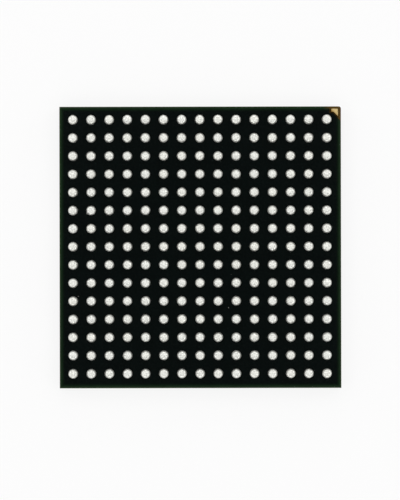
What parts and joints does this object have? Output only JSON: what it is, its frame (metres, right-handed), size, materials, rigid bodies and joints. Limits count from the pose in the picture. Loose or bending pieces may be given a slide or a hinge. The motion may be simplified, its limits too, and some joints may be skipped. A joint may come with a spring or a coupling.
{
  "type": "touch controller chip",
  "caption": "Square touch controller in a ball grid package, lying on its marking face with a full grid of solder balls up and a gold pin-one corner mark.",
  "frame": {"origin": "middle of the marking face of the mould cap, the flat face that the chip lies on with its balls up", "axes": "+Z out of the ball side, +X to the right and +Y up in the picture's view of the balls, with the pin-one corner at +X +Y"},
  "size_m": [0.01, 0.01, 0.0011],
  "materials": {
    "moulding_compound": "fine matt black moulded epoxy, sawn at the sides",
    "solder_mask": "satin near-black mask with a green cast, thin over bare laminate",
    "laminate": "sawn glass-fibre laminate, dark olive, dry and slightly fuzzy",
    "copper": "etched copper foil",
    "gold_plating": "soft gold plating over nickel and copper",
    "gold_wire": "bright drawn gold wire",
    "solder": "frosted tin-silver solder, satin",
    "silicon": "polished grey silicon",
    "die_film": "dull adhesive film",
    "pad_metal": "thin aluminium"
  },
  "bodies": {
    "root": {"mould_cap": "moulding_compound", "silicon_die": "silicon", "die_attach_film": "die_film", "die_bond_pads": "pad_metal", "bond_wires_east": "gold_wire", "bond_wires_north": "gold_wire", "bond_wires_west": "gold_wire", "bond_wires_south": "gold_wire", "die_side_mask": "solder_mask", "bond_fingers_and_traces": "copper", "die_paddle": "copper", "laminate_core": "laminate", "signal_vias": "copper", "thermal_vias": "copper", "ball_side_ground_plane": "copper", "ball_lands": "copper", "corner_mark": "gold_plating", "ball_side_mask": "solder_mask", "solder_balls_row_a": "solder", "solder_balls_row_b": "solder", "solder_balls_row_c": "solder", "solder_balls_row_d": "solder", "solder_balls_row_e": "solder", "solder_balls_row_f": "solder", "solder_balls_row_g": "solder", "solder_balls_row_h": "solder", "solder_balls_row_j": "solder", "solder_balls_row_k": "solder", "solder_balls_row_l": "solder", "solder_balls_row_m": "solder", "solder_balls_row_n": "solder", "solder_balls_row_p": "solder", "solder_balls_row_r": "solder"}
  },
  "joints": []
}
